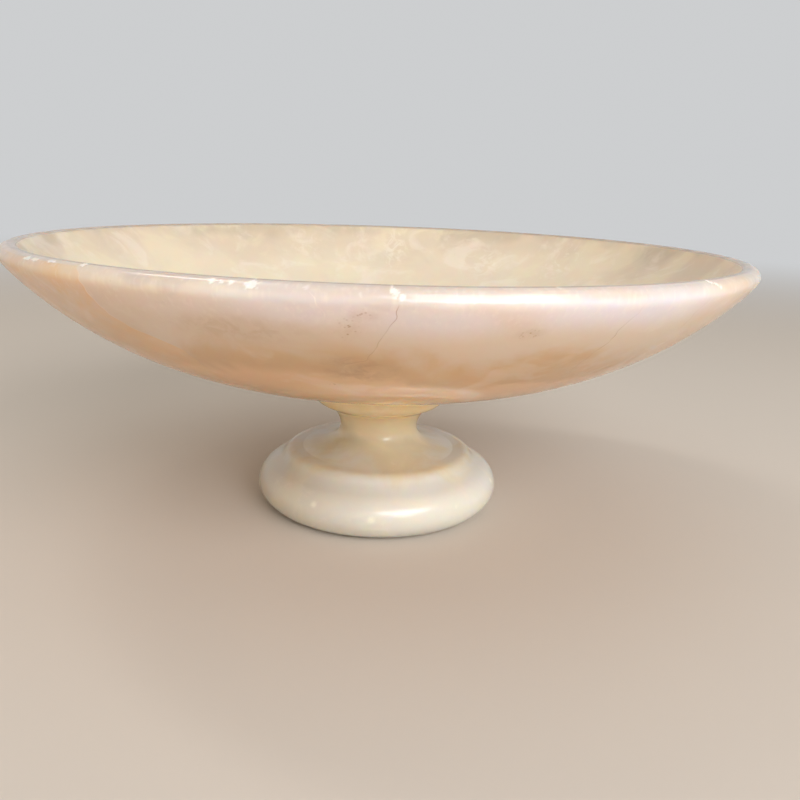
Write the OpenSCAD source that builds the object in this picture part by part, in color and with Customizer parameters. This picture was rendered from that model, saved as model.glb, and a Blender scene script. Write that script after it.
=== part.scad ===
// Turned stone bowl on a low pedestal: a wide shallow dish with a rounded lip, set on a foot
// that is turned from a second block. A grooved pin and two pours of cement hold them together.
// The origin is the centre of the foot's underside, where it rests. Z is up, along the turning axis.

/* [Bowl] */
// Outside diameter of the bowl at its lip
bowl_d = 300; // [220:1:400]
// Height of the bowl from its seat to the top of the lip
bowl_h = 58; // [44:0.5:90]
// Thickness of the lip
lip_t = 7.8; // [6:0.1:12]
// How far the outer round of the lip runs in, from its widest point to the top
lip_run = 4.8; // [3:0.1:5.4]
// How far below the top the lip is widest
lip_drop = 3.9; // [2:0.1:6]
// How far that round carries on below its widest point, where the side starts, in degrees
lip_under = 6.5; // [5:0.5:30]
// How far the inner round of the lip turns past the top, to where the inside starts, in degrees
lip_over = 50; // [40:1:70]
// Thickness of the stone in the middle of the floor
floor_t = 16; // [14:0.5:24]
// How far the flat face under the bowl reaches past the edge of the collar it sits on
seat_margin = 2; // [0:0.5:8]
// Fullness of the underside: 2 is an ellipse, and more keeps it flat for longer
belly_power = 2.82; // [2:0.02:3.2]
// Fullness of both sides below the lip: 2 is an ellipse, and less leans out sooner
side_power = 1.12; // [1.1:0.01:2]
// Fullness of the inside's floor: 2 is an ellipse, and more keeps it flat for longer
inside_power = 3; // [2:0.02:3.4]
// How far above the lip the curve of the inside would start upright
inside_rise = 0.4; // [0.2:0.1:4]

/* [Foot] */
// Diameter of the foot at its widest
foot_d = 108.8; // [98:0.2:140]
// Height of the foot's half-round edge
foot_h = 20.9; // [14:0.1:30]
// How far the half-round edge runs in from the widest point
foot_round = 12.8; // [8:0.1:16]
// Diameter of the dished recess under the foot
recess_d = 68; // [40:1:70]
// Depth of that recess in the middle
recess_depth = 2.5; // [1:0.1:6]
// Diameter of the bead that stands on the foot
bead_d = 85.6; // [74:0.2:90]
// Height of the bead above the foot
bead_h = 5; // [3:0.1:8]
// How far the round of the bead runs in from its widest point
bead_round = 4; // [2:0.1:6]
// How far the round of the bead carries on below the foot's top
bead_sunk = 1.8; // [0.6:0.1:3]
// How far out from the bead the soft hollow round it starts
quirk_reach = 5; // [2:0.1:8]
// How far up the round of the bead that hollow ends, in degrees from its widest point
quirk_turn = 20; // [5:1:45]

/* [Stem and collar] */
// Height from the top of the bead to the underside of the collar
stem_h = 20.1; // [16:0.1:40]
// Diameter of the neck at its narrowest
neck_d = 34.8; // [28:0.2:44]
// Height of the narrowest point above the top of the bead
neck_rise = 9.6; // [6:0.1:12]
// How far the hollow above the neck would run out if it went on to level
cove_run = 9.6; // [5:0.1:10]
// Share of a quarter turn that this hollow makes before the collar cuts it off, in degrees
cove_sweep = 78; // [60:1:85]
// Diameter of the cushion collar under the bowl
collar_d = 61; // [56:0.5:76]
// Height of the collar
collar_h = 12.8; // [9:0.1:18]
// How far the collar's half-round edge runs in from its widest point
collar_round = 7.4; // [4:0.1:9]

/* [Joint] */
// Thickness of the cement bed between collar and bowl
bed_t = 0.6; // [0.3:0.1:2]
// How far the bed stays back from the edge of the collar's flat top, or past it if below zero
bed_inset = -0.8; // [-1.5:0.1:4]
// Diameter of the pin
pin_d = 8; // [5:0.5:10]
// Thickness of the cement round the pin
sleeve_t = 1; // [0.5:0.1:2]
// Depth of the pin's socket in the bowl
socket_depth = 9; // [6:0.5:10]
// Depth of the pin's bore in the pedestal
bore_depth = 24; // [14:0.5:30]
// Cement left past each end of the pin
end_plug = 1.5; // [1:0.1:3]
// Distance from one turned groove of the pin to the next
groove_pitch = 4; // [3:0.5:6]
// Width of each groove
groove_w = 1.2; // [0.6:0.1:2]
// Depth of each groove
groove_depth = 0.5; // [0.3:0.1:1]

/* [Hidden] */

// Hairline that the cement leaves as it sets and shrinks in a round hole
set_gap = 0.05;
// Overrun of every cut
over = 0.5;
// Facets of a full turn
turn_fn = 180;
// Points along each curve of an outline
wall_points = 44;
round_points = 24;
hollow_points = 20;

// Heights, from the rest upwards
bead_top = foot_h + bead_h;
neck_z = bead_top + neck_rise;
collar_z = bead_top + stem_h;
pedestal_h = collar_z + collar_h;
seat_z = pedestal_h + bed_t;
rim_z = seat_z + bowl_h;

// Bowl: the lip is an outer and an inner round, and the side and the inside start at their ends
seat_r = collar_d / 2 + seat_margin;
lip_x = bowl_d / 2 - lip_run;
lip_z = rim_z - lip_drop;
inner_r = lip_t - lip_run;
side_r = lip_x + lip_run * cos(lip_under);
side_z = lip_z - lip_drop * sin(lip_under);
// The outer curve would reach a little lower at the axis than the flat face that cuts it off
outer_depth = (side_z - seat_z) / pow(1 - pow(seat_r / side_r, belly_power), 1 / side_power);
seat_turn = acos(pow(seat_r / side_r, belly_power / 2));
// The inner curve would start above the lip, and its start is cut off where the inner round ends
inside_top = rim_z + inside_rise;
inside_depth = inside_top - seat_z - floor_t;
inside_drop = inside_rise + inner_r * (1 - cos(lip_over));
inside_turn = asin(pow(inside_drop / inside_depth, side_power / 2));
inside_r = (lip_x - inner_r * sin(lip_over)) / pow(cos(inside_turn), 2 / inside_power);

// Pedestal: where the straight cores end and the rounds begin
foot_core_r = foot_d / 2 - foot_round;
bead_core_r = bead_d / 2 - bead_round;
collar_core_r = collar_d / 2 - collar_round;
bead_mid_z = foot_h + (bead_h - bead_sunk) / 2;
bead_half = (bead_h + bead_sunk) / 2;
neck_r = neck_d / 2;
recess_r = recess_d / 2;
cove_rise = (collar_z - neck_z) / sin(cove_sweep);

// Joint
hole_r = pin_d / 2 + sleeve_t;
pin_r = pin_d / 2;
pin_low = pedestal_h - bore_depth + end_plug;
pin_top = seat_z + socket_depth - end_plug;
pin_len = pin_top - pin_low;
bed_r = collar_core_r - bed_inset;

// Points of an elliptical arc about (x, z), from angle a0 to a1
function arc(x, z, run, rise, a0, a1, steps) =
    [for (i = [0:steps]) let (a = a0 + (a1 - a0) * i / steps) [x + run * cos(a), z + rise * sin(a)]];

// Points of a wall curve that starts upright at (reach, top) and levels out at the axis, depth below
function wall(reach, top, depth, power, a0, a1) =
    [for (i = [0:wall_points]) let (a = a0 + (a1 - a0) * i / wall_points)
        [reach * pow(cos(a), 2 / power), top - depth * pow(sin(a), 2 / side_power)]];

// Points of a bend from one point to another that is drawn towards the corner between them
function bend(start, corner, end, steps) =
    [for (i = [0:steps]) let (t = i / steps, s = 1 - t) s * s * start + 2 * s * t * corner + t * t * end];

// Where the line through p along d meets the line through q along e
function meeting(p, d, q, e) = p + cross(q - p, e) / cross(d, e) * d;

// Outline of a disc with a half-round edge
module half_round(core_r, low, run, h) {
    polygon(concat([[0, low]], arc(core_r, low + h / 2, run, h / 2, -90, 90, round_points), [[0, low + h]]));
}

// The soft hollow between the foot's round and the bead's, which starts and ends in line with them
module quirk_outline() {
    hollow_r = bead_d / 2 + quirk_reach;
    a = acos((hollow_r - foot_core_r) / foot_round);
    low = [hollow_r, foot_h / 2 * (1 + sin(a))];
    high = [bead_core_r + bead_round * cos(quirk_turn), bead_mid_z + bead_half * sin(quirk_turn)];
    low_run = [-foot_round * sin(a), foot_h / 2 * cos(a)];
    high_run = [bead_round * sin(quirk_turn), -bead_half * cos(quirk_turn)];
    corner = meeting(low, low_run, high, high_run);
    polygon(concat(
        [[bead_core_r, foot_h / 2], [hollow_r, foot_h / 2]],
        bend(low, corner, high, hollow_points),
        [[bead_core_r, high[1]]]
    ));
}

// The hollow from the bead to the neck and the smaller one from the neck to the collar
module stem_outline() {
    scotia = arc(bead_core_r, neck_z, bead_core_r - neck_r, neck_rise, 270, 180, hollow_points);
    cove = arc(neck_r + cove_run, neck_z, cove_run, cove_rise, 180, 180 - cove_sweep, hollow_points);
    cove_end_r = neck_r + cove_run * (1 - cos(cove_sweep));
    polygon(concat(
        [[0, foot_h], [bead_core_r, foot_h]],
        scotia,
        [for (i = [1:hollow_points]) cove[i]],
        [[cove_end_r, collar_z + collar_h / 2], [0, collar_z + collar_h / 2]]
    ));
}

// Stone dish: the outer wall from the seat up, the lip, and the inner wall down to the axis
module bowl() {
    outer = wall(side_r, side_z, outer_depth, belly_power, seat_turn, 0);
    outer_round = arc(lip_x, lip_z, lip_run, lip_drop, -lip_under, 90, round_points);
    inner_round = arc(lip_x, rim_z - inner_r, inner_r, inner_r, 90, 90 + lip_over, round_points);
    inner = wall(inside_r, inside_top, inside_depth, inside_power, inside_turn, 90);
    color([0.86, 0.75, 0.62])
    difference() {
        rotate_extrude($fn = turn_fn)
            polygon(concat(
                [[0, seat_z], [seat_r, seat_z]],
                [for (i = [1:wall_points]) outer[i]],
                [for (i = [1:round_points]) outer_round[i]],
                [for (i = [1:round_points]) inner_round[i]],
                [for (i = [1:wall_points - 1]) inner[i]],
                [[0, inside_top - inside_depth]]
            ));
        translate([0, 0, seat_z - over])
            cylinder(r = hole_r, h = socket_depth + over, $fn = turn_fn);
    }
}

// Stone foot, bead, stem and collar in one
module pedestal() {
    color([0.82, 0.78, 0.64])
    difference() {
        rotate_extrude($fn = turn_fn) {
            half_round(foot_core_r, 0, foot_round, foot_h);
            quirk_outline();
            half_round(bead_core_r, foot_h - bead_sunk, bead_round, 2 * bead_half);
            stem_outline();
            half_round(collar_core_r, collar_z, collar_round, collar_h);
        }
        rotate_extrude($fn = turn_fn)
            polygon(concat(
                [[0, -over], [recess_r, -over]],
                arc(0, 0, recess_r, recess_depth, 0, 90, hollow_points)
            ));
        translate([0, 0, pedestal_h - bore_depth])
            cylinder(r = hole_r, h = bore_depth + over, $fn = turn_fn);
    }
}

// Pin with a row of turned grooves that the cement keys into
module joint_pin() {
    groove_count = floor((pin_len - 2 * groove_pitch) / groove_pitch);
    first = pin_low + (pin_len - groove_count * groove_pitch) / 2;
    color([0.72, 0.58, 0.32])
    difference() {
        translate([0, 0, pin_low])
            cylinder(r = pin_r, h = pin_len, $fn = turn_fn);
        for (i = [0:groove_count])
            translate([0, 0, first + i * groove_pitch - groove_w / 2])
                difference() {
                    cylinder(r = pin_r + over, h = groove_w, $fn = turn_fn);
                    cylinder(r = pin_r - groove_depth, h = groove_w, $fn = turn_fn);
                }
    }
}

// Cement that fills a blind hole round the pin: a sleeve, and a plug past the pin's end
module hole_fill(low, depth) {
    difference() {
        translate([0, 0, low])
            cylinder(r = hole_r - set_gap, h = depth, $fn = turn_fn);
        translate([0, 0, pin_low])
            cylinder(r = pin_r + set_gap, h = pin_len, $fn = turn_fn);
    }
}

module socket_cement() {
    color([0.88, 0.85, 0.76])
    hole_fill(seat_z, socket_depth);
}

// The bed and the fill of the lower hole set as one piece
module bed_cement() {
    color([0.88, 0.85, 0.76])
    union() {
        hole_fill(pedestal_h - bore_depth, bore_depth);
        difference() {
            translate([0, 0, pedestal_h])
                cylinder(r = bed_r, h = bed_t, $fn = turn_fn);
            translate([0, 0, pedestal_h - over])
                cylinder(r = pin_r + set_gap, h = bed_t + 2 * over, $fn = turn_fn);
        }
    }
}

bowl();
pedestal();
joint_pin();
socket_cement();
bed_cement();
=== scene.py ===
# Looks of a turned stone bowl on a low foot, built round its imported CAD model.
# Everything is in metres in the CAD frame: the origin is the centre of the foot's rest, z is up and the
# front is towards -y. Outlines are written in millimetres. A bearing is an angle round the turning axis,
# measured from the front towards +x. A place is the distance along an outline, in millimetres.
import math

import bpy
import numpy as np
from mathutils import Matrix, Vector, noise


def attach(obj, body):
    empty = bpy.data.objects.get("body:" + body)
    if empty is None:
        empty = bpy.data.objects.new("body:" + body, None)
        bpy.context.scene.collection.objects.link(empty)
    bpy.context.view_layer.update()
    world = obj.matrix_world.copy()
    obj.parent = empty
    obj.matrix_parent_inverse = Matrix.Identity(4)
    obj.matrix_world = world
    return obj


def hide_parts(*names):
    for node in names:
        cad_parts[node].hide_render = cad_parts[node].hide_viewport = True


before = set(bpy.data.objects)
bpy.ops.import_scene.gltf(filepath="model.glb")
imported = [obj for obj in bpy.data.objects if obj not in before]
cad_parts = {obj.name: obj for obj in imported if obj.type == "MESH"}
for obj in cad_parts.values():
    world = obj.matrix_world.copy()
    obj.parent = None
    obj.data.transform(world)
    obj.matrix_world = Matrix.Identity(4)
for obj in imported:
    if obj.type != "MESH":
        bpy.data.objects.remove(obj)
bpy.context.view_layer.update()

MM = 0.001
BODY = "root"

# Bowl, in millimetres and degrees. The lip is an outer and an inner round, where the walls start
BOWL_R = 150.0
RIM_Z = 117.4
LIP_RUN = 4.8
LIP_DROP = 3.9
LIP_UNDER = 6.5
LIP_INNER_R = 3.0
LIP_OVER = 50
LIP_X = BOWL_R - LIP_RUN
LIP_Z = RIM_Z - LIP_DROP
SEAT_Z = 59.4
SEAT_R = 32.5
FLOOR_Z = 75.4
INSIDE_TOP = 117.8
BELLY_POWER = 2.82
SIDE_POWER = 1.12
INSIDE_POWER = 3.0
# How far the corners of the bowl and of the pedestal are worn
BOWL_WEAR = 1.0
PEDESTAL_WEAR = 1.2

# Pedestal, in millimetres and degrees
RECESS_R = 34.0
RECESS_DEPTH = 2.5
FOOT_CORE_R = 41.6
FOOT_ROUND = 12.8
FOOT_H = 20.9
QUIRK_R = 47.8
QUIRK_TURN = 20
BEAD_CORE_R = 38.8
BEAD_ROUND = 4.0
BEAD_LOW = 19.1
BEAD_TOP = 25.9
NECK_R = 17.4
NECK_Z = 35.5
COVE_RUN = 9.6
COVE_SWEEP = 78
COLLAR_Z = 46.0
COLLAR_CORE_R = 23.1
COLLAR_ROUND = 7.4
PEDESTAL_H = 58.8

# Holes for the pin, in millimetres
HOLE_R = 5.0
SOCKET_TOP = SEAT_Z + 9.0
BORE_LOW = PEDESTAL_H - 24.0

# Points of each smooth curve before its rings are spaced out
CURVE_POINTS = 600
# Vertices round a ring. Each count divides the first, so that rings with different counts can meet
LIP_COLUMNS = 1440
WALL_COLUMNS = 480
FOOT_COLUMNS = 360
BELLY_COLUMNS = 240
HOLE_COLUMNS = 60
# Heights outside and inside, and radius, at which the bowl's rings change, in millimetres
LIP_ZONE_LOW = 112.5
LIP_ZONE_END = 115.0
LINE_ZONE_Z = 82.0
FLOOR_R = 62.0
# Distance between the rings of each face, in millimetres
HOLE_SPACING = 2.0
SEAT_SPACING = 3.0
BELLY_SPACING = 2.6
LINED_SPACING = 0.95
LIP_SPACING = 0.5
WALL_SPACING = 2.3
FLOOR_SPACING = 2.4
RECESS_SPACING = 1.0
FOOT_SPACING = 0.7
# Radius below which a ring is one vertex on the axis, in millimetres
AXIS_R = 0.001
# How far from a plain flat or a hole the shown faces start, in millimetres
CLEAR = 0.01
# Angle between faces above which an edge shows sharp, in degrees
SHARP_ANGLE = 50
# Points to each side that a point of a worn outline is averaged with, and how many of them make up the wear
WEAR_REACH = 12
WEAR_POINTS = 4
# What hand polishing leaves: the depth and width of its swells in millimetres, and a seed
BOWL_SWELLS = (0.04, 34, 3)
PEDESTAL_SWELLS = (0.05, 22, 7)
# Heights over which the pedestal's swells start, from its bottom, and end, from its top, in millimetres
SWELLS_START = (0.2, 3)
SWELLS_END = (3, 0.5)

# Hairlines down the outside: kind, bearing in degrees of the columns that draw the line, depth in
# millimetres, and the line's points as bearing, height and strength. The columns keep clear of the ones
# that other rings share
LINES = [
    ("vein", -34.3, 0.0, [
        (-35.8, 117.0, 0.3), (-34.3, 114.7, 0.8), (-34.4, 110.4, 1.0), (-34.5, 106.0, 0.9),
        (-34.0, 102.6, 0.7), (-32.1, 98.1, 0.5), (-29.2, 95.5, 0.2), (-27.0, 92.0, 0.0),
    ]),
    ("vein", -7.1, 0.0, [(-7.0, 115.1, 0.7), (-5.7, 109.7, 0.6), (-6.0, 107.0, 0.0), (-10.0, 92.0, 0.0)]),
    ("crack", 1.35, 0.06, [
        (1.5, 114.0, 1.0), (1.3, 109.0, 0.8), (0.5, 104.3, 0.9), (-0.2, 101.0, 1.0), (-0.8, 98.8, 0.9),
        (-1.7, 94.3, 0.7), (-4.4, 92.4, 0.4), (-5.5, 90.0, 0.0),
    ]),
    ("crack", 28.9, 0.05, [
        (29.0, 111.5, 0.1), (28.2, 103.8, 0.9), (28.7, 99.8, 1.0), (28.2, 96.4, 0.8), (28.0, 92.4, 0.5),
        (28.6, 86.9, 0.3), (28.6, 84.0, 0.0),
    ]),
    ("crack", 40.7, 0.04, [
        (40.6, 112.0, 0.0), (40.6, 110.4, 0.6), (40.4, 107.4, 0.5), (41.2, 102.9, 0.7), (41.4, 100.5, 0.0),
    ]),
]
LINE_HALF_WIDTH = 0.25
# How far the lines wander to each side, and over which lengths
LINE_SWAY = 1.2
LINE_SWAY_SIZES = (5.0, 2.3)
LINE_SWAY_SHARES = (0.35, 0.8)
# Lengths over which the lines come and go, in millimetres, and their mean strength and its change
LINE_BREAK_SIZE = 2.6
LINE_BREAK_MEAN = 0.7
LINE_BREAK_CHANGE = 0.9
LINE_BREAK_SEED = 5
# Bearing to each side past which no column is bent, in degrees
LINE_REACH = 64
# Height below which the columns run straight again, and places past the widest ring where they start to
LINE_END_Z = 60.0
LINE_BEND_END = (2, 12)

# Chips along the lip: bearing in degrees, then height, half length along the lip, half height and depth in
# millimetres
CHIPS = [
    (-47.0, 116.4, 2.4, 0.40, 0.20),
    (-44.9, 116.5, 2.0, 0.35, 0.18),
    (-41.0, 116.7, 2.2, 0.30, 0.15),
    (-35.0, 117.0, 1.3, 0.30, 0.16),
    (-17.3, 116.4, 0.8, 0.5, 0.20),
    (-16.2, 116.2, 0.6, 0.4, 0.15),
    (-15.2, 116.3, 0.7, 0.4, 0.16),
    (-13.0, 116.1, 1.5, 0.9, 0.30),
    (-7.5, 116.2, 0.7, 0.4, 0.09),
    (-2.2, 114.9, 0.5, 0.6, 0.07),
    (0.9, 116.5, 0.5, 0.9, 0.30),
    (1.3, 115.6, 0.6, 0.9, 0.36),
    (1.9, 114.7, 0.6, 0.8, 0.25),
    (8.9, 114.0, 0.6, 0.5, 0.15),
    (15.1, 114.4, 0.6, 0.4, 0.15),
    (16.2, 114.3, 0.5, 0.4, 0.15),
    (18.3, 117.1, 0.4, 0.3, 0.10),
    (41.6, 116.9, 0.9, 0.5, 0.11),
    (42.4, 116.2, 1.0, 0.5, 0.13),
    (43.0, 115.3, 0.8, 0.4, 0.11),
]
# Chips round the back: how many, their bearings in degrees, and the limits of their other sizes in turn
MORE_CHIPS = 26
MORE_BEARINGS = (64, 296)
MORE_SIZES = ((113.6, 117.0), (0.5, 1.4), (0.3, 0.8), (0.1, 0.3))
CHIP_SEED = 11
# Depth from which a chip is white all over, in millimetres
FULL_BRUISE_DEPTH = 0.18
# Shares of a chip's size: how far it is looked for, how ragged its edge is, and where its white ends
CHIP_REACH = 2
CHIP_RAGGED = 0.6
CHIP_RAGGED_SIZE = 0.6
CHIP_WHITE = (0.8, 1.25)
# Where the lip has been ground flat past its largest chip: bearing and height of the sharp end at its top
# and at its bottom, width of that end and bearings of the fade in degrees, then the face's tilt in degrees,
# its depth in millimetres, and the least that the lip may face it
GROUND_START = (0.8, 116.4)
GROUND_START_LOW = (2.4, 114.0)
GROUND_EDGE = 0.3
GROUND_FADE = (19.0, 29.0)
GROUND_TILT = 24
GROUND_DEPTH = 0.30
GROUND_FACING = 0.3
# Nicks on the edge of the foot's rest, as for the chips, but with the place from the recess outwards
NICKS = [
    (-52.0, 9.5, 1.2, 0.9, 0.25),
    (24.0, 10.5, 0.9, 0.7, 0.20),
    (118.0, 9.0, 1.6, 1.1, 0.35),
    (171.0, 11.0, 0.8, 0.8, 0.20),
    (236.0, 8.6, 1.3, 0.8, 0.30),
]

# Soft patches by kind: bearing in degrees, then height, half length and half height in millimetres, and
# strength. They fade over these shares of their size
PATCH_EDGE = (0.2, 1.2)
OUTSIDE_PATCHES = {
    "pits": [
        (-3.6, 105.0, 3.0, 4.0, 1.0), (-2.0, 109.6, 3.4, 1.6, 0.7), (16.3, 104.2, 3.8, 1.6, 1.0),
        (-29.7, 113.4, 2.0, 1.2, 0.6), (-42.1, 112.8, 1.6, 1.2, 0.6), (-34.6, 87.6, 3.4, 1.4, 0.5),
        (-6.9, 83.1, 3.0, 1.0, 0.6), (95.0, 103.0, 4.0, 3.0, 1.0), (151.0, 95.0, 5.0, 3.0, 1.0),
        (-120.0, 100.0, 4.0, 2.4, 1.0), (-165.0, 108.0, 3.0, 2.0, 0.8),
    ],
    "stain": [
        (-3.0, 90.5, 13.0, 6.0, 0.9), (-4.4, 94.0, 6.0, 2.6, 0.6), (16.3, 104.2, 5.0, 2.4, 0.4),
        (-1.8, 109.2, 4.6, 1.8, 0.4), (-3.6, 105.0, 3.4, 4.4, 0.3), (-16.0, 103.0, 26.0, 5.0, 0.5),
        (100.0, 92.0, 16.0, 7.0, 0.8), (-140.0, 86.0, 18.0, 8.0, 0.8), (168.0, 101.0, 12.0, 5.0, 0.6),
    ],
    # Painted light: a paler, pinker band under the lip that stands in for light on the upper wall and light
    # through the thin rim
    "painted_rim_light": [
        (28.0, 113.0, 62.0, 10.0, 1.0), (6.0, 109.0, 30.0, 8.0, 0.6), (-9.0, 112.0, 34.0, 8.0, 0.6),
        (-140.0, 112.0, 50.0, 9.0, 0.8), (130.0, 111.0, 40.0, 8.0, 0.7),
    ],
    "fleck": [(42.5, 95.2, 0.9, 0.6, 1.0)],
}
INSIDE_PATCHES = {
    "streak": [
        (177.0, 105.0, 9.0, 14.0, 1.0), (131.5, 104.0, 12.0, 12.0, 0.9), (152.0, 100.0, 16.0, 10.0, 0.8),
        (-160.0, 106.0, 12.0, 10.0, 0.7), (20.0, 96.0, 20.0, 12.0, 0.8), (-60.0, 92.0, 16.0, 10.0, 0.7),
    ],
    "stain": [
        (-152.0, 112.5, 7.0, 3.0, 0.9), (70.0, 100.0, 14.0, 8.0, 0.5), (-20.0, 80.0, 20.0, 8.0, 0.5),
    ],
}
PEDESTAL_PATCHES = {
    # The two patches beside the neck, at -78 and 84 degrees, are painted shade in the hollow by the stem;
    # the others are amber stone
    "amber": [
        (-78.0, 31.5, 34.0, 8.5, 1.0), (-58.0, 13.0, 52.0, 16.0, 0.5), (84.0, 30.0, 26.0, 12.0, 0.6),
        (160.0, 34.0, 30.0, 14.0, 0.7),
    ],
    "fleck": [
        (-28.9, 14.8, 1.6, 1.4, 0.6), (-2.2, 11.8, 1.9, 1.8, 0.65), (38.0, 13.5, 1.1, 0.9, 0.3),
        (74.0, 15.0, 1.6, 1.2, 0.8), (141.0, 9.0, 1.3, 1.3, 0.9), (-97.0, 12.0, 1.7, 1.1, 0.9),
    ],
}
# Amber stone to the left of the first line: bearing at which it has faded, how far short of the line it is
# full, both in degrees, and the place past the widest ring where it ends
AMBER_END = -82
AMBER_FULL = 12
AMBER_TOP = 4
# Places past the bowl's widest ring, in millimetres: where lines end, where the darker rim (partly handling
# wear, partly painted shade) and the inner face start, and where patches of the outer face end, and weaken
# and by how much
LINE_TOP = 2
RIM_START = (4.8, 6)
INNER_START = (8, 10)
PATCH_TOP = 8
PATCH_WEAKER = (-1, 2)
PATCH_WEAKER_SHARE = 0.6
# What each stone's mesh carries for its material
BOWL_MARKS = (
    "bruise", "crack", "vein", "fleck", "pits", "stain", "painted_rim_light", "amber", "streak", "inner", "rim_wear_and_shade", "dull",
)
PEDESTAL_MARKS = ("bruise", "fleck", "amber", "dull")
# Heights between which the hollow of the pedestal is less polished, with soft ends
HOLLOW_LOW = (25, 27)
HOLLOW_HIGH = (29, 33)


def arc(x, z, run, rise, start, end):
    """Points of an elliptical arc about (x, z), between two angles in degrees."""
    turn = np.radians(np.linspace(start, end, CURVE_POINTS))
    return np.column_stack([x + run * np.cos(turn), z + rise * np.sin(turn)])


def wall(reach, top, depth, power, start, end):
    """Points of a wall that starts upright at reach and levels out at the axis, depth below the top."""
    turn = np.linspace(start, end, CURVE_POINTS)
    across = reach * np.cos(turn).clip(0) ** (2 / power)
    down = depth * np.sin(turn).clip(0) ** (2 / SIDE_POWER)
    return np.column_stack([across, top - down])


def bend(start, start_turn, end, end_turn):
    """Points of a curve between two points. At each it runs along that direction, which is an angle."""
    first = np.array([math.cos(start_turn), math.sin(start_turn)])
    last = np.array([math.cos(end_turn), math.sin(end_turn)])
    reach = np.linalg.solve(np.column_stack([first, -last]), np.subtract(end, start))[0]
    corner = start + reach * first
    t = np.linspace(0, 1, CURVE_POINTS)[:, None]
    return (1 - t) ** 2 * start + 2 * t * (1 - t) * corner + t ** 2 * end


def along(points):
    """The distance of each point from the first one, along the outline."""
    steps = np.hypot(*np.diff(points, axis=0).T)
    return np.concatenate([[0], np.cumsum(steps)])


def evenly(points, spacing):
    """The same outline with its points about one spacing apart."""
    place = along(points)
    at = np.linspace(0, place[-1], max(1, round(place[-1] / spacing)) + 1)
    return np.column_stack([np.interp(at, place, points[:, k]) for k in (0, 1)])


def softened(points, wear):
    """An outline whose corners are worn to about that radius, with its ends kept."""
    fine = evenly(points, wear / WEAR_POINTS)
    weight = np.exp(-0.5 * (np.arange(-WEAR_REACH, WEAR_REACH + 1) / WEAR_POINTS) ** 2)
    padded = np.pad(fine, ((WEAR_REACH, WEAR_REACH), (0, 0)), mode="reflect", reflect_type="odd")
    return np.column_stack([np.convolve(padded[:, k], weight / weight.sum(), "valid") for k in (0, 1)])


def bowl_outline():
    """The outside from the seat up, the lip, and the inside down to the axis."""
    under, over = math.radians(LIP_UNDER), math.radians(LIP_OVER)
    side_r = LIP_X + LIP_RUN * math.cos(under)
    side_z = LIP_Z - LIP_DROP * math.sin(under)
    outer_depth = (side_z - SEAT_Z) / (1 - (SEAT_R / side_r) ** BELLY_POWER) ** (1 / SIDE_POWER)
    seat_turn = math.acos((SEAT_R / side_r) ** (BELLY_POWER / 2))
    inside_depth = INSIDE_TOP - FLOOR_Z
    inside_drop = INSIDE_TOP - RIM_Z + LIP_INNER_R * (1 - math.cos(over))
    inside_turn = math.asin((inside_drop / inside_depth) ** (SIDE_POWER / 2))
    inside_r = (LIP_X - LIP_INNER_R * math.sin(over)) / math.cos(inside_turn) ** (2 / INSIDE_POWER)
    return softened(np.vstack([
        wall(side_r, side_z, outer_depth, BELLY_POWER, seat_turn, 0),
        arc(LIP_X, LIP_Z, LIP_RUN, LIP_DROP, -LIP_UNDER, 90)[1:],
        arc(LIP_X, RIM_Z - LIP_INNER_R, LIP_INNER_R, LIP_INNER_R, 90, 90 + LIP_OVER)[1:],
        wall(inside_r, INSIDE_TOP, inside_depth, INSIDE_POWER, inside_turn, math.pi / 2)[1:],
    ]), BOWL_WEAR)


def pedestal_outline():
    """The foot's round, the quirk, the bead, the stem and the collar, up to the collar's flat top."""
    foot_half = FOOT_H / 2
    bead_half = (BEAD_TOP - BEAD_LOW) / 2
    collar_half = (PEDESTAL_H - COLLAR_Z) / 2
    foot_turn = math.acos((QUIRK_R - FOOT_CORE_R) / FOOT_ROUND)
    bead_turn = math.radians(QUIRK_TURN)
    foot = arc(FOOT_CORE_R, foot_half, FOOT_ROUND, foot_half, -90, math.degrees(foot_turn))
    bead = arc(BEAD_CORE_R, BEAD_LOW + bead_half, BEAD_ROUND, bead_half, QUIRK_TURN, 90)
    foot_way = math.atan2(foot_half * math.cos(foot_turn), -FOOT_ROUND * math.sin(foot_turn))
    bead_way = math.atan2(bead_half * math.cos(bead_turn), -BEAD_ROUND * math.sin(bead_turn))
    scotia = arc(BEAD_CORE_R, NECK_Z, BEAD_CORE_R - NECK_R, NECK_Z - BEAD_TOP, 270, 180)
    cove_rise = (COLLAR_Z - NECK_Z) / math.sin(math.radians(COVE_SWEEP))
    cove = arc(NECK_R + COVE_RUN, NECK_Z, COVE_RUN, cove_rise, 180, 180 - COVE_SWEEP)
    collar = arc(COLLAR_CORE_R, COLLAR_Z + collar_half, COLLAR_ROUND, collar_half, -90, 90)
    upper = collar[:, 1] > COLLAR_Z + collar_half
    return softened(np.vstack([
        foot[:-1],
        bend(foot[-1], foot_way, bead[0], bead_way),
        bead[1:],
        scotia[1:],
        cove[1:],
        collar[(collar[:, 0] > cove[-1, 0]) | upper],
    ]), PEDESTAL_WEAR)


def wrapped(angle):
    """The same angle between minus and plus half a turn."""
    return (angle + math.pi) % (2 * math.pi) - math.pi


def smooth(value, low, high):
    """From 0 at low to 1 at high, with level ends."""
    t = ((value - low) / (high - low)).clip(0, 1)
    return t * t * (3 - 2 * t)


def rough(points, size, seed):
    """Smooth noise from about -1 to 1 at points in millimetres, with features of that size."""
    return np.array([noise.noise((x / size + seed, y / size, z / size)) for x, y, z in points])


def wander(levels, size, seed):
    """The same noise along one direction."""
    each, back = np.unique(levels, return_inverse=True)
    return rough(np.column_stack([each * 0, each * 0, each]), size, seed)[back]


def regular(count):
    """Evenly spaced bearings that a ring with more columns also has."""
    return np.arange(0, LIP_COLUMNS, LIP_COLUMNS // count) * (2 * math.pi / LIP_COLUMNS)


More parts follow.
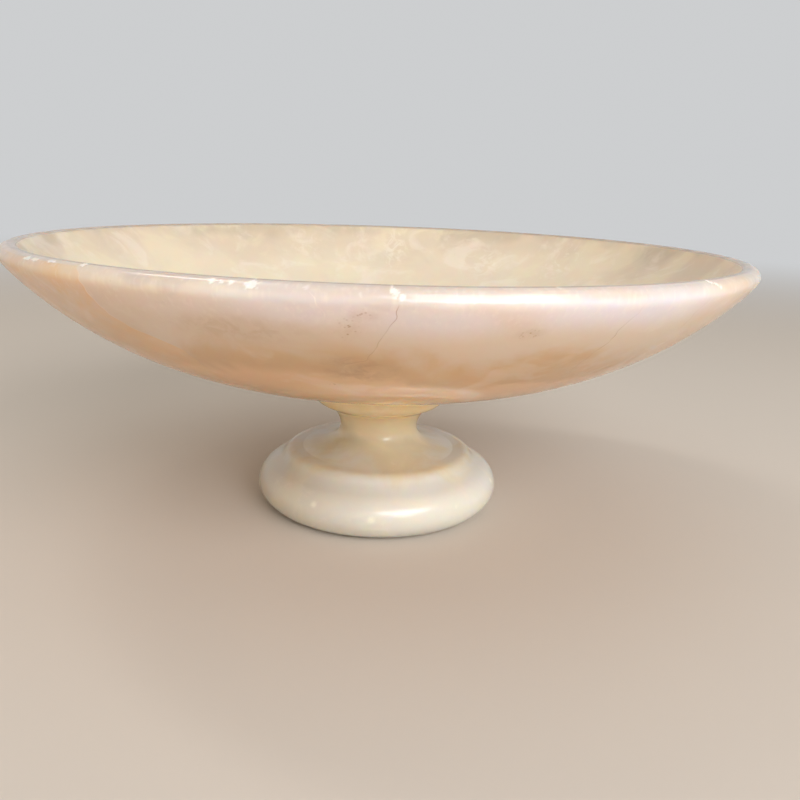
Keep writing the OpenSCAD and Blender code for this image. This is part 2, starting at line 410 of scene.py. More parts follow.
def with_lines(bearings):
    """The bearings with three more columns at each hairline, and no other too near them."""
    half = LINE_HALF_WIDTH / BOWL_R
    for _, bearing, *_ in LINES:
        middle = math.radians(bearing) % (2 * math.pi)
        bearings = bearings[np.abs(wrapped(bearings - middle)) > 2 * half]
        bearings = np.append(bearings, [middle - half, middle, middle + half])
    return np.sort(bearings)


def band(low_start, low_at, high_start, high_at):
    """Faces between two rings of vertices. The one with fewer shares its bearings with the other."""
    if len(low_at) == 1:
        count = len(high_at)
        return [(low_start, high_start + (k + 1) % count, high_start + k) for k in range(count)]
    if len(high_at) == 1:
        count = len(low_at)
        return [(low_start + k, low_start + (k + 1) % count, high_start) for k in range(count)]
    shared = min(low_at, high_at, key=len)
    runs = []
    for start, at in ((low_start, low_at), (high_start, high_at)):
        corners = np.searchsorted(at, shared)
        steps = (np.roll(corners, -1) - corners) % len(at)
        runs.append([[start + (c + k) % len(at) for k in range(n + 1)] for c, n in zip(corners, steps)])
    return [low + high[::-1] for low, high in zip(*runs)]


class Turned:
    """Rings of vertices along an outline that goes from the axis round the stone and back to the axis."""

    def __init__(self, sections, mark_names):
        """Each section is an outline, the spacing of its rings and the bearings of their columns."""
        places = []
        self.columns = []
        for outline, spacing, bearings in sections:
            points = evenly(outline, spacing)[1 if places else 0:]
            places.extend(points)
            self.columns.extend(bearings if radius > AXIS_R else np.zeros(1) for radius, _ in points)
        places = np.array(places)
        slope = np.gradient(places, axis=0)
        slope /= np.hypot(*slope.T)[:, None]
        row = np.repeat(np.arange(len(places)), [len(c) for c in self.columns])
        self.bearing = np.concatenate(self.columns)
        self.radius, self.height = places[row].T
        self.out, self.up = slope[row, 1], -slope[row, 0]
        self.place = along(places)[row]
        self.marks = {name: np.zeros(len(row)) for name in mark_names}

    def points(self, depth=0.0):
        """Positions in millimetres, that far under the plain surface."""
        radius = self.radius - self.out * depth
        height = self.height - self.up * depth
        return np.column_stack([radius * np.sin(self.bearing), -radius * np.cos(self.bearing), height])

    def chip(self, level, chips):
        """Bruises the stone in and round each chip, and returns the chips' depth."""
        depth = np.zeros(len(level))
        bruise = self.marks["bruise"]
        for bearing, middle, half_length, half_height, deep in chips:
            sideways = wrapped(self.bearing - math.radians(bearing)) * self.radius / half_length
            upwards = (level - middle) / half_height
            near = np.flatnonzero((np.abs(sideways) < CHIP_REACH) & (np.abs(upwards) < CHIP_REACH))
            ragged = 1 + CHIP_RAGGED * rough(self.points()[near], CHIP_RAGGED_SIZE * half_length, bearing)
            away = np.hypot(sideways[near], upwards[near]) * ragged
            depth[near] = np.maximum(depth[near], deep * (1 - away ** 2).clip(0))
            white = min(1, deep / FULL_BRUISE_DEPTH)
            bruise[near] = np.maximum(bruise[near], white * (1 - smooth(away, *CHIP_WHITE)))
        return depth

    def patch(self, patches, where):
        """Adds soft patches to the marks, on the vertices where they may be."""
        for name, places in patches.items():
            for bearing, middle, half_length, half_height, strength in places:
                sideways = wrapped(self.bearing - math.radians(bearing)) * self.radius / half_length
                away = np.hypot(sideways, (self.height - middle) / half_height)
                shown = strength * (1 - smooth(away, *PATCH_EDGE)) * where
                self.marks[name] = np.maximum(self.marks[name], shown)

    def swells(self, depth, size, seed):
        """How far hand polishing has sunk the surface at each vertex."""
        return depth * (1 + rough(self.points(), size, seed))

    def mesh(self, name, depth):
        """The mesh in metres, with each mark as an attribute."""
        starts = np.concatenate([[0], np.cumsum([len(c) for c in self.columns])]).tolist()
        faces = []
        for k in range(len(self.columns) - 1):
            faces += band(starts[k], self.columns[k], starts[k + 1], self.columns[k + 1])
        made = bpy.data.meshes.new(name)
        made.from_pydata((self.points(depth) * MM).tolist(), [], faces)
        for key, values in self.marks.items():
            attribute = made.attributes.new(key, "FLOAT", "POINT")
            attribute.data.foreach_set("value", values.astype(np.float32))
        made.shade_smooth()
        made.set_sharp_from_angle(angle=math.radians(SHARP_ANGLE))
        return made


def draw_lines(turned, level, lip_place):
    """Bends the columns along the hairlines and marks those. Returns how deep they are.

    The level is the height, carried on over the lip. lip_place is the place past the widest ring."""
    depth = np.zeros(len(level))
    shift = np.zeros(len(level))
    straight = wrapped(turned.bearing)
    ends = math.radians(LINE_REACH)
    knots = np.array([-ends] + [math.radians(bearing) for _, bearing, *_ in LINES] + [ends])
    kept = smooth(level, LINE_END_Z, LINE_ZONE_Z) * (1 - smooth(lip_place, *LINE_BEND_END))
    for k, (kind, bearing, deep, path) in enumerate(LINES):
        at, heights, strengths = np.array(path[::-1]).T
        target = np.radians(np.interp(level, heights, at) - bearing)
        for share, size in zip(LINE_SWAY_SHARES, LINE_SWAY_SIZES):
            target += share * LINE_SWAY / BOWL_R * wander(level, size, bearing)
        shift += target * kept * np.interp(straight, knots, np.eye(len(knots))[k + 1])
        gaps = wander(level, LINE_BREAK_SIZE, bearing + LINE_BREAK_SEED)
        broken = (LINE_BREAK_MEAN + LINE_BREAK_CHANGE * gaps).clip(0, 1)
        strength = broken * np.interp(level, heights, strengths)
        aside = np.abs(straight - math.radians(bearing))
        on_line = (aside < LINE_HALF_WIDTH / BOWL_R / 2) & (lip_place < LINE_TOP)
        turned.marks[kind] = np.where(on_line, strength, turned.marks[kind])
        depth = np.where(on_line, deep * strength, depth)
    fade = smooth(np.degrees(straight), AMBER_END, LINES[0][1] - AMBER_FULL) * (straight < knots[1])
    turned.marks["amber"] = fade * (lip_place < AMBER_TOP)
    turned.bearing = turned.bearing + shift
    return depth


def ground(turned, level):
    """How far the lip is ground down at each vertex."""
    tilt = math.radians(GROUND_TILT)
    (high_at, high), (low_at, low) = GROUND_START, GROUND_START_LOW
    angle = np.degrees(wrapped(turned.bearing))
    edge = high_at + (low_at - high_at) * (high - level) / (high - low)
    share = smooth(angle, edge, edge + GROUND_EDGE) * (1 - smooth(angle, *GROUND_FADE))
    reach = turned.radius * math.cos(tilt) + turned.height * math.sin(tilt)
    face = (turned.out * math.cos(tilt) + turned.up * math.sin(tilt)).clip(GROUND_FACING)
    return (reach - reach.max() + GROUND_DEPTH * share).clip(0) / face * (share > 0)


def more_chips():
    """Chips round the back of the lip."""
    chance = np.random.default_rng(CHIP_SEED)
    bearings = chance.uniform(*MORE_BEARINGS, MORE_CHIPS)
    return [(bearing, *[chance.uniform(*limits) for limits in MORE_SIZES]) for bearing in bearings]


def bowl_mesh():
    """The dish, with its lip chipped, its wall cracked and both faces as uneven as polishing leaves them."""
    outline = bowl_outline()
    top = np.argmax(outline[:, 1])
    low, high = np.searchsorted(outline[:top, 1], (LINE_ZONE_Z, LIP_ZONE_LOW))
    side = top + np.searchsorted(-outline[top:, 1], -LIP_ZONE_END)
    floor = top + np.searchsorted(-outline[top:, 0], -FLOOR_R)
    socket = np.array([(0, SOCKET_TOP), (HOLE_R, SOCKET_TOP), (HOLE_R, SEAT_Z)])
    seat = np.array([(HOLE_R, SEAT_Z), (SEAT_R, SEAT_Z)])
    turned = Turned([
        (socket, HOLE_SPACING, regular(HOLE_COLUMNS)),
        (seat, SEAT_SPACING, regular(BELLY_COLUMNS)),
        (outline[:low + 1], BELLY_SPACING, regular(BELLY_COLUMNS)),
        (outline[low:high + 1], LINED_SPACING, with_lines(regular(WALL_COLUMNS))),
        (outline[high:side + 1], LIP_SPACING, with_lines(regular(LIP_COLUMNS))),
        (outline[side:floor + 1], WALL_SPACING, regular(WALL_COLUMNS)),
        (outline[floor:], FLOOR_SPACING, regular(BELLY_COLUMNS)),
    ], BOWL_MARKS)
    lip_place = turned.place - turned.place[np.argmax(turned.radius)]
    rising = turned.place < turned.place[np.argmax(turned.height)]
    level = np.where(rising, turned.height, RIM_Z + (lip_place - lip_place[np.argmax(turned.height)]))
    grooves = draw_lines(turned, np.minimum(level, RIM_Z), lip_place)
    chips = np.maximum(turned.chip(level, CHIPS + more_chips()), ground(turned, level))
    turned.marks["inner"] = smooth(lip_place, *INNER_START)
    turned.marks["dull"] = turned.marks["inner"]
    turned.marks["rim_wear_and_shade"] = smooth(lip_place, *RIM_START)
    weaker = 1 - PATCH_WEAKER_SHARE * smooth(lip_place, *PATCH_WEAKER)
    turned.patch(OUTSIDE_PATCHES, (lip_place < PATCH_TOP) * weaker)
    turned.patch(INSIDE_PATCHES, lip_place > PATCH_TOP)
    exposed = (turned.height > SEAT_Z + CLEAR) & (turned.radius > HOLE_R + CLEAR) | (lip_place > 0)
    swells = turned.swells(*BOWL_SWELLS) * exposed
    return turned.mesh("bowl_stone", swells + np.maximum(chips, grooves))


def pedestal_mesh():
    """The foot, bead, stem and collar in one, with the quirk and the creases slightly worn."""
    recess = arc(0, 0, RECESS_R, RECESS_DEPTH, 90, 0)
    shown = pedestal_outline()
    bore = np.array([(HOLE_R, PEDESTAL_H), (HOLE_R, BORE_LOW), (0, BORE_LOW)])
    turned = Turned([
        (recess, RECESS_SPACING, regular(FOOT_COLUMNS)),
        (np.array([(RECESS_R, 0), (FOOT_CORE_R, 0)]), RECESS_SPACING, regular(FOOT_COLUMNS)),
        (shown, FOOT_SPACING, regular(FOOT_COLUMNS)),
        (np.array([shown[-1], (HOLE_R, PEDESTAL_H)]), SEAT_SPACING, regular(FOOT_COLUMNS)),
        (bore, HOLE_SPACING, regular(HOLE_COLUMNS)),
    ], PEDESTAL_MARKS)
    nicks = turned.chip(turned.place - along(recess)[-1], NICKS)
    turned.patch(PEDESTAL_PATCHES, turned.radius > RECESS_R)
    turned.marks["dull"] = smooth(turned.height, *HOLLOW_LOW) * (1 - smooth(turned.height, *HOLLOW_HIGH))
    start, end = (PEDESTAL_H - below for below in SWELLS_END)
    exposed = smooth(turned.height, *SWELLS_START) * (1 - smooth(turned.height, start, end))
    swells = turned.swells(*PEDESTAL_SWELLS) * exposed * (turned.radius > HOLE_R + CLEAR)
    return turned.mesh("pedestal_stone", swells + nicks)


class Graph:
    """The nodes of one material or of the world."""

    def __init__(self, owner):
        owner.use_nodes = True
        self.tree = owner.node_tree
        self.tree.nodes.clear()

    def add(self, kind, sockets=(), **settings):
        """A node with its settings, and with values or links in its input sockets."""
        made = self.tree.nodes.new("ShaderNode" + kind)
        for key, value in settings.items():
            setattr(made, key, value)
        for key, value in dict(sockets).items():
            if isinstance(value, bpy.types.NodeSocket):
                self.tree.links.new(value, made.inputs[key])
            else:
                made.inputs[key].default_value = value
        return made

    def maths(self, operation, *values):
        return self.add("Math", dict(enumerate(values)), operation=operation).outputs[0]

    def ease(self, value, low, high, to_low=0.0, to_high=1.0):
        """A smooth change from one value to another while the input goes from low to high."""
        sockets = {0: value, 1: low, 2: high, 3: to_low, 4: to_high}
        return self.add("MapRange", sockets, interpolation_type="SMOOTHSTEP").outputs[0]

    def mix(self, share, first, second, blend="MIX"):
        """Two colours mixed."""
        sockets = {0: share, 6: first, 7: second}
        return self.add("Mix", sockets, data_type="RGBA", blend_type=blend).outputs[2]

    def noise(self, coordinates, size, detail, roughness, distortion=0.0):
        """Noise from 0 to 1 with features about that many millimetres across."""
        return self.add("TexNoise", {
            "Vector": coordinates,
            "Scale": 1 / (size * MM),
            "Detail": detail,
            "Roughness": roughness,
            "Distortion": distortion,
        }).outputs[0]

    def veil(self, coordinates, name):
        """One of the veils in the stone."""
        noise_of, change = VEILS[name]
        return self.ease(self.noise(coordinates, *noise_of), *change)

    def scaled(self, coordinates, scale):
        """The coordinates times a scale along each axis."""
        return self.add("VectorMath", {0: coordinates, 1: scale}, operation="MULTIPLY").outputs[0]

    def tones(self, value, stops):
        """A colour between those of the stops, each a place and a colour."""
        made = self.add("ValToRGB", {0: value})
        ramp = made.color_ramp
        ramp.interpolation = "EASE"
        while len(ramp.elements) < len(stops):
            ramp.elements.new(0.5)
        for element, (place, colour) in zip(ramp.elements, stops):
            element.position = place
            element.color = colour
        return made.outputs[0]

    def mark(self, name):
        """The value of a mesh attribute."""
        return self.add("Attribute", attribute_name=name).outputs["Fac"]

    def marked(self, colour, name, tone, share):
        """The colour with that share of a tone wherever the mark is."""
        return self.mix(self.maths("MULTIPLY", self.mark(name), share), colour, tone)


def rgb(red, green, blue):
    return (red, green, blue, 1.0)


# Tones of the stone, in linear colour, from the bottom of each face upwards. Some of their stops are painted
# light and shade, as said at each
# Outside: the bright stops at 0.22 and 0.40 are partly a painted reflection of the foot in the underside,
# the warm tan low down is partly painted warm bounce light, and the darker top stop is painted shade on the
# lip
BOWL_OUTSIDE_WITH_PAINTED_LIGHT = [
    (0.0, rgb(0.80, 0.60, 0.40)),
    (0.22, rgb(0.81, 0.54, 0.31)),
    (0.40, rgb(0.77, 0.50, 0.28)),
    (0.50, rgb(0.63, 0.41, 0.22)),
    (0.70, rgb(0.69, 0.56, 0.42)),
    (0.90, rgb(0.72, 0.61, 0.50)),
    (0.96, rgb(0.64, 0.54, 0.46)),
]
# Inside: the darker stops towards the rim are painted shade on the upper inner wall
BOWL_INSIDE_WITH_PAINTED_SHADE = [
    (0.0, rgb(0.80, 0.70, 0.50)),
    (0.6, rgb(0.80, 0.69, 0.52)),
    (0.85, rgb(0.71, 0.60, 0.45)),
    (1.0, rgb(0.59, 0.50, 0.37)),
]
# Pedestal: the yellow up the stem is partly painted warm light from the bowl, and the darker olive stop at
# 0.50, in the hollow over the bead, is painted shade
PEDESTAL_TONES_WITH_PAINTED_LIGHT = [
    (0.0, rgb(0.66, 0.64, 0.56)),
    (0.36, rgb(0.70, 0.68, 0.61)),
    (0.50, rgb(0.68, 0.58, 0.40)),
    (0.60, rgb(0.78, 0.65, 0.43)),
    (0.80, rgb(0.80, 0.62, 0.36)),
    (1.0, rgb(0.75, 0.56, 0.30)),
]
AMBER = rgb(0.76, 0.47, 0.22)
# Painted light under the lip
PAINTED_RIM_LIGHT = rgb(0.75, 0.75, 0.86)
# Darker lip top: partly handling wear, partly painted shade
RIM_WEAR_AND_SHADE_TONE = rgb(0.48, 0.39, 0.31)
# Amber stone, and painted shade beside the neck
HONEY_AND_SHADE_TONE = rgb(0.42, 0.31, 0.16)
STAIN = rgb(0.46, 0.29, 0.16)
PALE = rgb(0.92, 0.85, 0.74)
GREENISH = rgb(0.85, 0.77, 0.55)
BRUISE = rgb(0.95, 0.92, 0.88)
CRACK_TONE = rgb(0.36, 0.20, 0.09)
FLECK = rgb(0.94, 0.90, 0.76)

# How much of its tone each mark shows
FLECK_SHARE = 0.8
BRUISE_SHARE = 0.65
AMBER_SHARES = (0.3, 0.6)
PAINTED_RIM_LIGHT_SHARE = 0.6
STAIN_SHARE = 0.7
INSIDE_STAIN_SHARE = 0.15
PITS_SHARE = 0.7
VEIN_SHARE = 0.6
CRACK_SHARE = 0.75
STREAK_SHARE = 0.4
HONEY_AND_SHADE_SHARE = 0.65

# Veils in the stone. Each is noise, as the width of its features in millimetres, detail, roughness and
# distortion, then the values between which it changes, and what it changes from and to where not 0 and 1
VEILS = {
    "clouds": ((46, 4.0, 0.55, 0.6), (0.3, 0.7, -0.09, 0.09)),
    "amber": ((26, 4.0, 0.55, 0.8), (0.35, 0.65)),
    "far_amber": ((60, 3.0, 0.5, 0.4), (0.56, 0.7, 0.0, 0.35)),
    "tool_lines": ((1.6, 2.0, 0.5), (0.5, 0.72)),
    "pale": ((18, 3.0, 0.5, 0.8), (0.54, 0.7, 0.0, 0.14)),
    "mottle": ((5, 4.0, 0.6, 0.6), (0.4, 0.62, 0.35, 1.0)),
    "rim_darkening": ((9, 4.0, 0.6, 0.4), (0.3, 0.6, 0.55, 1.0)),
    "bowl_worn": ((14, 4.0, 0.6), (0.3, 0.75, 0.0, 0.06)),
    "inside_clouds": ((50, 3.0, 0.5, 0.5), (0.3, 0.7, -0.1, 0.1)),
    "inside_green": ((34, 4.0, 0.55, 0.7), (0.48, 0.64, 0.0, 0.4)),
    "inside_clots": ((22, 5.0, 0.6, 0.7), (0.5, 0.66, 0.0, 0.34)),
    "inside_streaks": ((7, 5.0, 0.6, 1.8), (0.48, 0.62)),
    "pedestal_clouds": ((24, 4.0, 0.55, 0.6), (0.3, 0.7, -0.06, 0.06)),
    "pedestal_green": ((22, 4.0, 0.55, 0.7), (0.46, 0.68, 0.0, 0.25)),
    "pedestal_pale": ((12, 4.0, 0.6, 0.8), (0.52, 0.74, 0.0, 0.16)),
    "pedestal_worn": ((12, 4.0, 0.6), (0.3, 0.75, 0.0, 0.03)),
}
# How much the tool lines and the inner streaks are drawn out upwards, as a scale of the coordinates
TOOL_LINES_SCALE = (1.0, 1.0, 0.08)
STREAKS_SCALE = (1.0, 1.0, 0.35)
# Height share over which the tool lines come in towards the lip, and their strength there
TOOL_LINES_NEAR_LIP = (0.7, 0.92, 0.0, 0.16)
# Distance between pits in millimetres, and the distances from their middles over which they fade, in shares
# of it
PITS_APART = 1.2
PITS_EDGE = (0.1, 0.42, 1.0, 0.0)

# Polish, as roughness: over a height share outside the bowl and up the pedestal, and what dull places and
# bruises bring it to
BOWL_POLISH = (0.15, 0.75, 0.04, 0.13)
INSIDE_DULLED = 0.25
PEDESTAL_POLISH = (0.5, 0.57, 0.19, 0.03)
PEDESTAL_DULLED = 0.04
BRUISE_ROUGHNESS = 0.5
# How strongly polished and dull stone mirror, as Specular IOR Level
MIRROR = 0.5
DULL_MIRROR = 0.2
STONE_IOR = 1.58
# Glow of light that enters the stone: its weight, its spread for each colour, and its reach in metres
GLOW_WEIGHT = 0.85
GLOW_SPREAD = (1.0, 0.62, 0.36)
GLOW_REACH = 0.012
# Grain that only the polish shows: noise as in the veils, strength, and height in metres
GRAIN = (0.9, 3.0, 0.6)
GRAIN_STRENGTH = 0.03
GRAIN_HEIGHT = 0.0003


def stone(name, colour_of, low, high, gloss_of):
    """Polished translucent stone. colour_of and gloss_of take the graph, coordinates and a height share."""
    material = bpy.data.materials.new(name)
    graph = Graph(material)
    place = graph.add("TexCoord").outputs["Object"]
    height = graph.add("SeparateXYZ", {0: place}).outputs[2]
    share = graph.add("MapRange", {0: height, 1: low * MM, 2: high * MM}).outputs[0]
    colour = graph.marked(colour_of(graph, place, share), "fleck", FLECK, FLECK_SHARE)
    colour = graph.marked(colour, "bruise", BRUISE, BRUISE_SHARE)
    bruised = graph.maths("MULTIPLY", graph.mark("bruise"), BRUISE_ROUGHNESS)
    grain = graph.noise(place, *GRAIN)
    bump = graph.add("Bump", {"Strength": GRAIN_STRENGTH, "Distance": GRAIN_HEIGHT, "Height": grain})
    shader = graph.add("BsdfPrincipled", {
        "Base Color": colour,
        "Roughness": graph.maths("MAXIMUM", gloss_of(graph, place, share), bruised),
        "IOR": STONE_IOR,
        "Specular IOR Level": graph.ease(graph.mark("dull"), 0.0, 1.0, MIRROR, DULL_MIRROR),
        "Subsurface Weight": GLOW_WEIGHT,
        "Subsurface Radius": GLOW_SPREAD,
        "Subsurface Scale": GLOW_REACH,
        "Normal": bump.outputs[0],
    })
    graph.add("OutputMaterial", {0: shader.outputs[0]})
    return material


def outside_colour(graph, place, share):
    """The outer face: clouded, amber to one side, with painted light as a paler pinker band under the lip,
    painted shade and handling wear darkening the lip's top, and stains, pits and lines.
    """
    colour = graph.tones(graph.maths("ADD", share, graph.veil(place, "clouds")), BOWL_OUTSIDE_WITH_PAINTED_LIGHT)
    patchy = graph.ease(graph.veil(place, "amber"), 0.0, 1.0, *AMBER_SHARES)
    amber = graph.maths("MULTIPLY", graph.mark("amber"), patchy)
    colour = graph.mix(graph.maths("MAXIMUM", amber, graph.veil(place, "far_amber")), colour, AMBER)
    # Painted light: paler, pinker band under the lip
    colour = graph.marked(colour, "painted_rim_light", PAINTED_RIM_LIGHT, PAINTED_RIM_LIGHT_SHARE)
    near_lip = graph.ease(share, *TOOL_LINES_NEAR_LIP)
    tool_lines = graph.veil(graph.scaled(place, TOOL_LINES_SCALE), "tool_lines")
    colour = graph.mix(graph.maths("MULTIPLY", tool_lines, near_lip), colour, PALE)
    colour = graph.mix(graph.veil(place, "pale"), colour, PALE)
    stain = graph.maths("MULTIPLY", graph.mark("stain"), graph.veil(place, "mottle"))
    colour = graph.mix(graph.maths("MULTIPLY", stain, STAIN_SHARE), colour, STAIN)
    cell = graph.add("TexVoronoi", {"Vector": place, "Scale": 1 / (PITS_APART * MM)}).outputs["Distance"]
    pits = graph.maths("MULTIPLY", graph.ease(cell, *PITS_EDGE), graph.mark("pits"))
    colour = graph.mix(graph.maths("MULTIPLY", pits, PITS_SHARE), colour, CRACK_TONE)
    colour = graph.marked(colour, "vein", PALE, VEIN_SHARE)
    colour = graph.marked(colour, "crack", CRACK_TONE, CRACK_SHARE)
    # The lip's top darkens: partly handling wear, partly painted shade
    rim_darkening = graph.maths("MULTIPLY", graph.mark("rim_wear_and_shade"), graph.veil(place, "rim_darkening"))
    return graph.mix(rim_darkening, colour, RIM_WEAR_AND_SHADE_TONE)


def inside_colour(graph, place, share):
    """The inner face: yellower, with greenish patches, pale clots and wavy streaks, and painted shade
    darkening it towards the rim.
    """
    colour = graph.tones(graph.maths("ADD", share, graph.veil(place, "inside_clouds")), BOWL_INSIDE_WITH_PAINTED_SHADE)
    colour = graph.mix(graph.veil(place, "inside_green"), colour, GREENISH)
    colour = graph.mix(graph.veil(place, "inside_clots"), colour, PALE)
    streaks = graph.veil(graph.scaled(place, STREAKS_SCALE), "inside_streaks")
    streaks = graph.maths("MULTIPLY", streaks, graph.mark("streak"))
    colour = graph.mix(graph.maths("MULTIPLY", streaks, STREAK_SHARE), colour, PALE)
    return graph.marked(colour, "stain", STAIN, INSIDE_STAIN_SHARE)


def bowl_colour(graph, place, share):
    outside = outside_colour(graph, place, share)
    inside = inside_colour(graph, place, share)
    return graph.mix(graph.mark("inner"), outside, inside)


def bowl_gloss(graph, place, share):
    """Keener polish under the bowl, where it is never handled, and duller inside, where it is used."""
    dulled = graph.maths("MULTIPLY", graph.mark("inner"), INSIDE_DULLED)
    polish = graph.maths("ADD", graph.ease(share, *BOWL_POLISH), dulled)
    return graph.maths("ADD", graph.veil(place, "bowl_worn"), polish)


def pedestal_colour(graph, place, share):
    """Whiter at the foot, yellower up the stem, softly mottled. The yellow is partly painted warm light from
    the bowl; the honey patches beside the neck and the darker hollow are painted shade.
    """
    clouds = graph.veil(place, "pedestal_clouds")
    colour = graph.tones(graph.maths("ADD", share, clouds), PEDESTAL_TONES_WITH_PAINTED_LIGHT)
    colour = graph.mix(graph.veil(place, "pedestal_green"), colour, GREENISH)
    # Honey patches: amber stone, and painted shade beside the neck
    colour = graph.marked(colour, "amber", HONEY_AND_SHADE_TONE, HONEY_AND_SHADE_SHARE)
    return graph.mix(graph.veil(place, "pedestal_pale"), colour, PALE)


def pedestal_gloss(graph, place, share):
    """Keener polish up the stem, which nothing rubs."""
    dulled = graph.maths("MULTIPLY", graph.mark("dull"), PEDESTAL_DULLED)
    polish = graph.maths("ADD", graph.ease(share, *PEDESTAL_POLISH), dulled)
    return graph.maths("ADD", graph.veil(place, "pedestal_worn"), polish)


# Brass and cement: noise as in the veils, tones over it, and roughness
BRASS_DULLING = (3, 4.0, 0.6)
BRASS_TONES = [(0.35, rgb(0.36, 0.24, 0.09)), (0.7, rgb(0.72, 0.52, 0.22))]
BRASS_POLISH = (0.3, 0.7, 0.5, 0.28)
CEMENT_MOTTLE = (4, 5.0, 0.65)
CEMENT_TONES = [(0.3, rgb(0.62, 0.57, 0.47)), (0.7, rgb(0.78, 0.74, 0.64))]
CEMENT_ROUGHNESS = 0.85
# Pores of the cement: noise, strength, and height in metres
CEMENT_PORES = (0.5, 2.0, 0.5)
PORES_STRENGTH = 0.3
PORES_HEIGHT = 0.0002


def brass():
    """Turned brass, dulled where the cement has touched it."""
    material = bpy.data.materials.new("turned_brass")
    graph = Graph(material)
    dull = graph.noise(graph.add("TexCoord").outputs["Object"], *BRASS_DULLING)
    shader = graph.add("BsdfPrincipled", {
        "Base Color": graph.tones(dull, BRASS_TONES),
        "Metallic": 1.0,
        "Roughness": graph.ease(dull, *BRASS_POLISH),
    })
    graph.add("OutputMaterial", {0: shader.outputs[0]})
    return material


def cement():
    """Set cement, chalky and full of fine pores."""
    material = bpy.data.materials.new("set_cement")
    graph = Graph(material)
    place = graph.add("TexCoord").outputs["Object"]
    pores = graph.noise(place, *CEMENT_PORES)
    bump = graph.add("Bump", {"Strength": PORES_STRENGTH, "Distance": PORES_HEIGHT, "Height": pores})
    shader = graph.add("BsdfPrincipled", {
        "Base Color": graph.tones(graph.noise(place, *CEMENT_MOTTLE), CEMENT_TONES),
        "Roughness": CEMENT_ROUGHNESS,
        "Normal": bump.outputs[0],
    })
    graph.add("OutputMaterial", {0: shader.outputs[0]})
    return material


def place_piece(mesh, node, material):
    """A piece that stands for a CAD node, which it hides, and wears the given material."""
    piece = bpy.data.objects.new(mesh.name, mesh)
    bpy.context.scene.collection.objects.link(piece)
    mesh.materials.append(material)
    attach(piece, BODY)
    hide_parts(node)
    return piece


def finish_node(node, material):
    """Gives a CAD node that stays as it is its material."""
    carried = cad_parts[node]
    carried.data.materials.clear()
    carried.data.materials.append(material)


# Floor and backdrop, in linear colour
FLOOR_TONE = rgb(0.66, 0.59, 0.51)
BACKDROP_TONE = rgb(0.61, 0.62, 0.63)
FLOOR_REACH = 6.0
# Distance from the object over which the floor fades into the backdrop, in metres
FADE_START = 0.5
FADE_END = 1.8
# The backdrop darkens from one height to another, each the sine of its elevation
SKY_TONE = rgb(0.22, 0.24, 0.28)
SKY_START = 0.35
SKY_END = 0.75
AMBIENT = rgb(0.12, 0.12, 0.12)


def seen_directly(graph):
    """1 for what is looked at, also in a reflection or through glass, and 0 for light on things."""
    ray = graph.add("LightPath")
    shown = graph.maths("MAXIMUM", ray.outputs["Is Camera Ray"], ray.outputs["Is Glossy Ray"])
    return graph.maths("MAXIMUM", shown, ray.outputs["Is Transmission Ray"])


def stage():
    """A plain pale floor that fades into a plain pale backdrop."""
    mesh = bpy.data.meshes.new("floor")
    corners = [(x * FLOOR_REACH, y * FLOOR_REACH, 0) for x, y in ((-1, -1), (1, -1), (1, 1), (-1, 1))]
    mesh.from_pydata(corners, [], [(0, 1, 2, 3)])
    floor = bpy.data.objects.new("floor", mesh)
    bpy.context.scene.collection.objects.link(floor)
    material = bpy.data.materials.new("pale_floor")
    graph = Graph(material)
    place = graph.add("TexCoord").outputs["Object"]
    away = graph.add("VectorMath", {0: place}, operation="LENGTH").outputs["Value"]
    fade = graph.maths("MULTIPLY", graph.ease(away, FADE_START, FADE_END), seen_directly(graph))
    paint = graph.add("BsdfDiffuse", {"Color": FLOOR_TONE})
    glow = graph.add("Emission", {"Color": BACKDROP_TONE})
    both = graph.add("MixShader", {0: fade, 1: paint.outputs[0], 2: glow.outputs[0]})
    graph.add("OutputMaterial", {0: both.outputs[0]})
    mesh.materials.append(material)
    world = bpy.data.worlds.new("studio")
    bpy.context.scene.world = world
    graph = Graph(world)
    around = graph.add("Background", {"Color": AMBIENT})
    upwards = graph.add("SeparateXYZ", {0: graph.add("TexCoord").outputs["Generated"]}).outputs[2]
    tone = graph.mix(graph.ease(upwards, SKY_START, SKY_END), BACKDROP_TONE, SKY_TONE)
    backdrop = graph.add("Background", {"Color": tone})
    both = graph.add("MixShader", {0: seen_directly(graph), 1: around.outputs[0], 2: backdrop.outputs[0]})
    graph.add("OutputWorld", {0: both.outputs[0]})


# Lamps: name, bearing and elevation in degrees, distance, width and height in metres, power in watts,
# colour, and whether the lamp shows in the polish. They face the point at this height above the origin, in
# metres
AIM_Z = 0.07
LAMPS = [
    ("key", 27, 31, 1.6, 1.32, 0.54, 15.4, (0.93, 0.95, 1.0), True),
    ("low_key", 25, 17, 1.6, 0.50, 0.56, 5.6, (0.93, 0.95, 1.0), True),
    ("far_strip", -125, 58, 1.6, 0.20, 0.70, 2.8, (1.0, 0.98, 0.95), True),
    ("front", 10, 8, 2.0, 2.60, 0.50, 8.5, (1.0, 0.98, 0.97), False),
    ("top", 0, 86, 1.8, 1.80, 1.80, 8.5, (1.0, 0.97, 0.93), False),
    ("high_left", -70, 45, 1.8, 1.20, 1.20, 2.4, (1.0, 0.97, 0.93), False),
    ("right", 75, 16, 1.8, 1.40, 1.00, 6.0, (1.0, 0.96, 0.93), False),
    ("left", -80, 8, 1.8, 1.40, 0.60, 3.6, (1.0, 0.84, 0.62), False),
    ("back", 180, 30, 2.0, 2.00, 1.20, 7.0, (1.0, 0.98, 0.96), False),
]


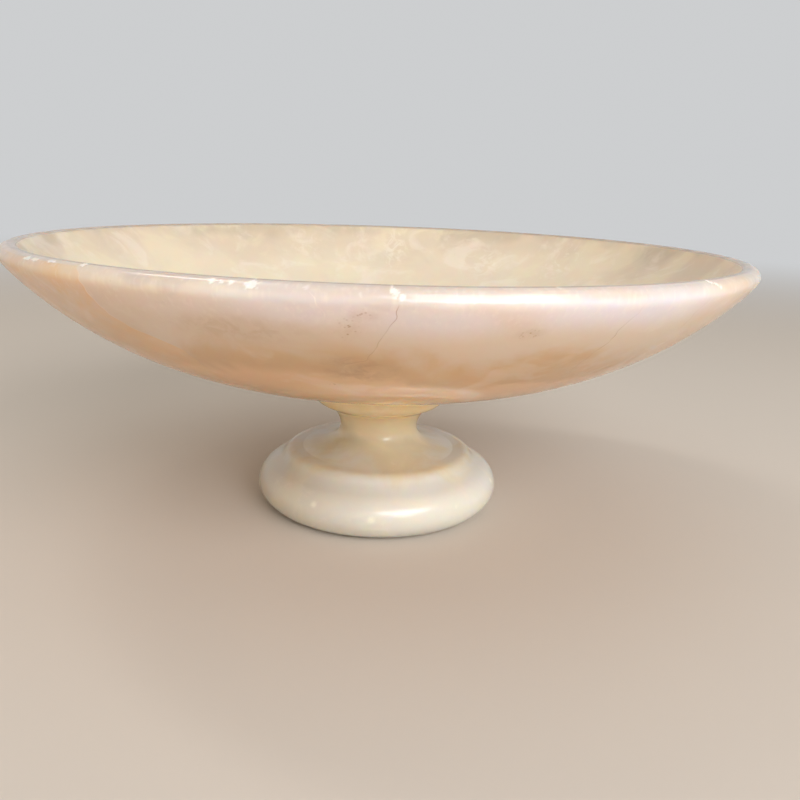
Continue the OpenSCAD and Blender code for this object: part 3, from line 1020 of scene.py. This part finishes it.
def lamp(name, bearing, elevation, distance, width, height, power, colour, in_polish):
    """A soft box that faces the object."""
    light = bpy.data.lights.new(name, "AREA")
    light.shape = "RECTANGLE"
    light.size = width
    light.size_y = height
    light.energy = power
    light.color = colour
    held = bpy.data.objects.new(name, light)
    turn, lift = math.radians(bearing), math.radians(elevation)
    away = Vector((math.sin(turn) * math.cos(lift), -math.cos(turn) * math.cos(lift), math.sin(lift)))
    held.location = away * distance + Vector((0, 0, AIM_Z))
    held.rotation_euler = away.to_track_quat("Z", "Y").to_euler()
    held.visible_glossy = in_polish
    bpy.context.scene.collection.objects.link(held)


# Camera: place in metres, turn and tilts in degrees, focal length and sensor width in millimetres, and the
# nearest distance that it shows in metres
CAMERA_AT = (-0.0003, -0.34459, 0.14163)
CAMERA_TURN = 1.604
CAMERA_DOWN = 15.31
CAMERA_ROLL = -2.05
CAMERA_LENS = 35.325
CAMERA_SENSOR = 36
CAMERA_NEAR = 0.01


def camera():
    """The camera at the photographed angle."""
    turn, tilt, roll = (math.radians(a) for a in (CAMERA_TURN, CAMERA_DOWN, CAMERA_ROLL))
    ahead = Vector((math.sin(turn) * math.cos(tilt), math.cos(turn) * math.cos(tilt), -math.sin(tilt)))
    right = Vector((math.cos(turn), -math.sin(turn), 0))
    down = ahead.cross(right)
    across = right * math.cos(roll) + down * math.sin(roll)
    below = down * math.cos(roll) - right * math.sin(roll)
    data = bpy.data.cameras.new("camera")
    data.sensor_width = CAMERA_SENSOR
    data.lens = CAMERA_LENS
    data.clip_start = CAMERA_NEAR
    held = bpy.data.objects.new("camera", data)
    held.matrix_world = Matrix((across, -below, -ahead)).transposed().to_4x4()
    held.location = CAMERA_AT
    bpy.context.scene.collection.objects.link(held)
    bpy.context.scene.camera = held


bowl_stone = stone("bowl_stone", bowl_colour, SEAT_Z, RIM_Z, bowl_gloss)
pedestal_stone = stone("pedestal_stone", pedestal_colour, 0, PEDESTAL_H, pedestal_gloss)
place_piece(bowl_mesh(), "bowl", bowl_stone)
place_piece(pedestal_mesh(), "pedestal", pedestal_stone)
finish_node("joint_pin", brass())
set_cement = cement()
finish_node("socket_cement", set_cement)
finish_node("bed_cement", set_cement)
stage()
for settings in LAMPS:
    lamp(*settings)
camera()
bpy.context.scene.view_settings.view_transform = "Standard"
